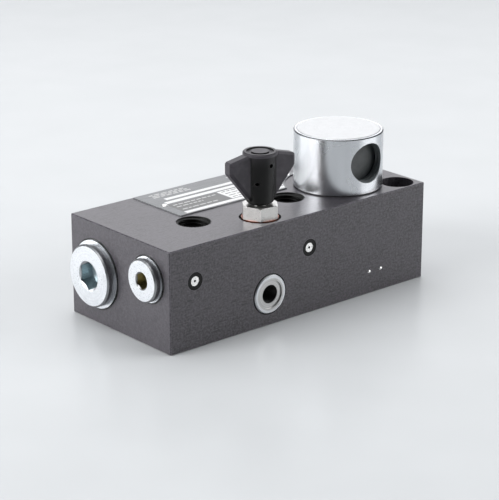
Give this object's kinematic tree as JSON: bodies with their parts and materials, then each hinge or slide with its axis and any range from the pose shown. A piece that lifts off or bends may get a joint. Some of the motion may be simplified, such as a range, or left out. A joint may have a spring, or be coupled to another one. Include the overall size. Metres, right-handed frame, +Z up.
{
  "type": "solenoid directional valve",
  "caption": "Seat-type solenoid valve in a flat dark steel block, with a round plated solenoid, screw plugs, threaded ports and a black wing knob on a needle valve",
  "frame": {"origin": "middle of the block's underside", "axes": "+X along the block away from the two screw plugs, -Y towards the long side with the gauge port, +Z up out of the face with the solenoid"},
  "size_m": [0.1337, 0.0606, 0.066],
  "materials": {
    "block_steel": "dark phosphated and oiled, satin, faint machining grain",
    "zinc_plate": "bright zinc plated, turned",
    "seal_ring": "bonded seal with a plated steel ring",
    "hard_steel": "ground and hardened",
    "bright_steel": "polished",
    "black_steel": "black oxide",
    "spring_steel": "drawn spring wire",
    "bronze_ptfe": "bronze-filled plastic",
    "rubber_black": "smooth black rubber",
    "plate_print": null,
    "copper": "soft copper, brushed",
    "knob_plastic": "black moulded plastic",
    "can_plate": "bright plated turned steel",
    "cover_plate": "bright plated, finely faced",
    "coil_mould": "dark grey-green moulding",
    "bobbin_plastic": "glass-filled plastic",
    "enamel_wire": "enamelled copper wire"
  },
  "bodies": {
    "block": {"valve_block": "block_steel", "main_plug": "zinc_plate", "main_plug_seal": "seal_ring", "main_piston_spring": "spring_steel", "main_seat": "hard_steel", "check_plug": "zinc_plate", "check_plug_seal": "seal_ring", "check_spring": "spring_steel", "check_seat": "hard_steel", "gauge_port_adapter": "zinc_plate", "adapter_oring": "rubber_black", "expander_sleeves": "black_steel", "expander_pins": "bright_steel", "sealing_balls": "bright_steel", "type_plate": "plate_print", "plate_rivets": "bright_steel", "copper_washer": "copper", "spindle_gland_nut": "zinc_plate", "solenoid_gasket": "rubber_black", "solenoid_housing": "can_plate", "solenoid_cover": "cover_plate", "coil_body": "coil_mould", "coil_bobbin": "bobbin_plastic", "coil_winding": "enamel_wire", "armature_tube": "hard_steel", "tube_oring": "rubber_black", "pole_piece": "hard_steel", "armature_spring": "spring_steel", "pilot_seat": "hard_steel"},
    "needle_carrier": {"spindle_oring": "rubber_black"},
    "needle_turn": {"needle_spindle": "hard_steel", "wing_knob": "knob_plastic", "knob_pin": "black_steel"},
    "armature_set": {"armature": "hard_steel", "push_pin": "hard_steel", "pilot_ball": "bright_steel"},
    "main_piston_set": {"main_piston": "hard_steel", "main_piston_ring": "bronze_ptfe"},
    "check_poppet_set": {"check_poppet": "hard_steel"}
  },
  "joints": [
    {"name": "spindle_lift", "type": "slide", "parent": "block", "child": "needle_carrier", "axis": [0, 0, 1], "range_m": [0, 0.002]},
    {"name": "knob_turn", "type": "hinge", "parent": "needle_carrier", "child": "needle_turn", "pos_m": [-0.0134, -0.0202, 0.05], "axis": [0, 0, 1], "range_deg": [0, 721]},
    {"name": "armature_slide", "type": "slide", "parent": "block", "child": "armature_set", "axis": [0, 0, 1], "range_m": [0, 0.002], "stiffness_N_per_m": 600, "springref_m": -0.004, "deforming": ["armature_spring"]},
    {"name": "main_piston_slide", "type": "slide", "parent": "block", "child": "main_piston_set", "axis": [-1, 0, 0], "range_m": [0, 0.004], "stiffness_N_per_m": 1500, "springref_m": -0.004, "deforming": ["main_piston_spring"]},
    {"name": "check_poppet_slide", "type": "slide", "parent": "block", "child": "check_poppet_set", "axis": [-1, 0, 0], "range_m": [0, 0.0025], "stiffness_N_per_m": 400, "springref_m": -0.003, "deforming": ["check_spring"]}
  ],
  "couplings": [
    {"joint": "knob_turn", "follows": "spindle_lift", "rad_per_m": 6283.2}
  ]
}
